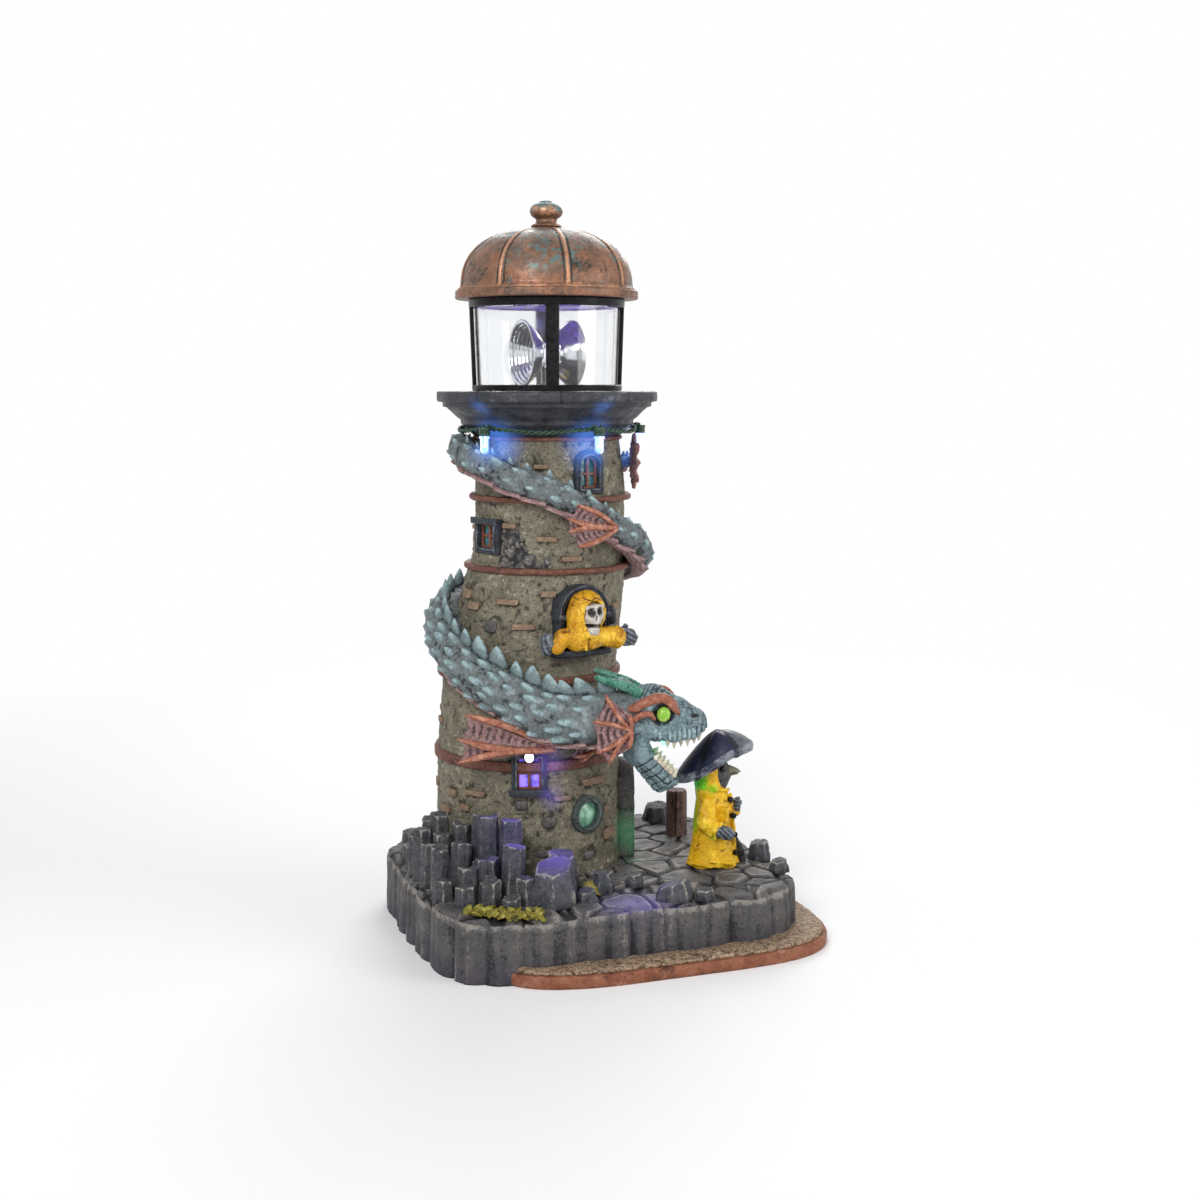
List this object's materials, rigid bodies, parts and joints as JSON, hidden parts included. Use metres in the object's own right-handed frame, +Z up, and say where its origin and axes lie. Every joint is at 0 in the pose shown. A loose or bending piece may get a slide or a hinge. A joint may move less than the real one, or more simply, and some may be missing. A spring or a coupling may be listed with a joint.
{
  "type": "lighted village lighthouse",
  "caption": "Decorative lit lighthouse with a turning beacon, painted resin tower, coiled sea serpent and rock base, run from dry cells or a low voltage lead.",
  "frame": {"origin": "middle of the base's footprint, on the surface that it stands on", "axes": "+Z up, -Y towards the front of the base, +X towards its right end"},
  "size_m": [0.136, 0.124, 0.247],
  "materials": {
    "rock": "matte",
    "beach_edge": "matte",
    "sand": "matte",
    "paving": "matte",
    "weed": "matte",
    "old_wood": "matte",
    "black_plastic": "satin",
    "cell_jacket": "satin",
    "plated": "brushed",
    "board": "gloss",
    "plaster": "matte",
    "rust_band": "matte",
    "brick": "matte",
    "dark_stone": "matte",
    "window_rim": "satin",
    "sash_paint": "satin",
    "pane": "rippled",
    "yellow_coat": "satin",
    "bone": "matte",
    "knit": "matte",
    "serpent_skin": "satin",
    "eye_green": "gloss",
    "horn_green": "satin",
    "fin_pink": "satin",
    "plumage": "satin",
    "hat_blue": "satin",
    "green_lead": "satin",
    "clear_lamp": "clear",
    "gallery_stone": "matte",
    "lantern_black": "gloss",
    "clear_glass": "clear",
    "ceiling_violet": "gloss",
    "copper_roof": "aged copper",
    "mirror_chrome": "polished",
    "nylon": "satin",
    "bearing_brass": "satin"
  },
  "bodies": {
    "case": {"base_casting": "rock", "beach_ledge": "beach_edge", "beach_sand": "sand", "rock_pile": "rock", "flagstones": "paving", "seaweed": "weed", "mooring_post": "old_wood", "base_cover": "black_plastic", "battery_tray": "black_plastic", "battery_cells": "cell_jacket", "battery_contacts": "plated", "control_board": "board", "rear_panel": "black_plastic", "dc_socket": "black_plastic", "switch_body": "plated", "cover_screws": "plated", "tower_shell": "plaster", "trim_bands": "rust_band", "exposed_bricks": "brick", "stone_patches": "dark_stone", "window_frames": "window_rim", "window_sashes": "sash_paint", "window_panes": "pane", "door_frame": "window_rim", "door_leaf": "old_wood", "keeper_window": "window_rim", "keeper_coat": "yellow_coat", "keeper_skull": "bone", "keeper_gloves": "knit", "serpent_body": "serpent_skin", "serpent_head": "serpent_skin", "serpent_jaw": "serpent_skin", "serpent_teeth": "bone", "serpent_eyes": "eye_green", "serpent_horns": "horn_green", "serpent_fins": "fin_pink", "serpent_tail": "fin_pink", "crow_coat": "yellow_coat", "crow_plumage": "plumage", "crow_hat": "hat_blue", "crow_gloves": "knit", "string_lead": "green_lead", "bulb_sockets": "green_lead", "string_bulbs": "clear_lamp", "spot_lamps": "clear_lamp", "gallery": "gallery_stone", "lantern_frame": "lantern_black", "lantern_glass": "clear_glass", "lantern_ceiling": "ceiling_violet", "roof_dome": "copper_roof", "roof_finial": "copper_roof", "beacon_bush": "bearing_brass", "beacon_motor": "plated", "motor_plate": "black_plastic"},
    "beacon": {"beacon_reflectors": "mirror_chrome", "beacon_spindle": "plated", "beacon_gear": "nylon"},
    "motor_output": {"motor_pinion": "bearing_brass"},
    "battery_hatch": {"battery_door": "black_plastic"},
    "switch_slider": {"switch_knob": "black_plastic"}
  },
  "joints": [
    {"name": "beacon_spin", "type": "hinge", "parent": "case", "child": "beacon", "pos_m": [-0.0115, 0.0222, 0.165], "axis": [0, 0, 1], "continuous": true},
    {"name": "motor_spin", "type": "hinge", "parent": "case", "child": "motor_output", "pos_m": [-0.02241, 0.0285, 0.165], "axis": [0, 0, 1], "continuous": true},
    {"name": "hatch_hinge", "type": "hinge", "parent": "case", "child": "battery_hatch", "pos_m": [0.00725, -0.008, 0.0022], "axis": [0, 1, 0], "range_deg": [0, 90]},
    {"name": "switch_slide", "type": "slide", "parent": "case", "child": "switch_slider", "axis": [1, 0, 0], "range_m": [0, 0.0034]}
  ],
  "couplings": [
    {"joint": "motor_spin", "follows": "beacon_spin", "ratio": -2.5}
  ]
}
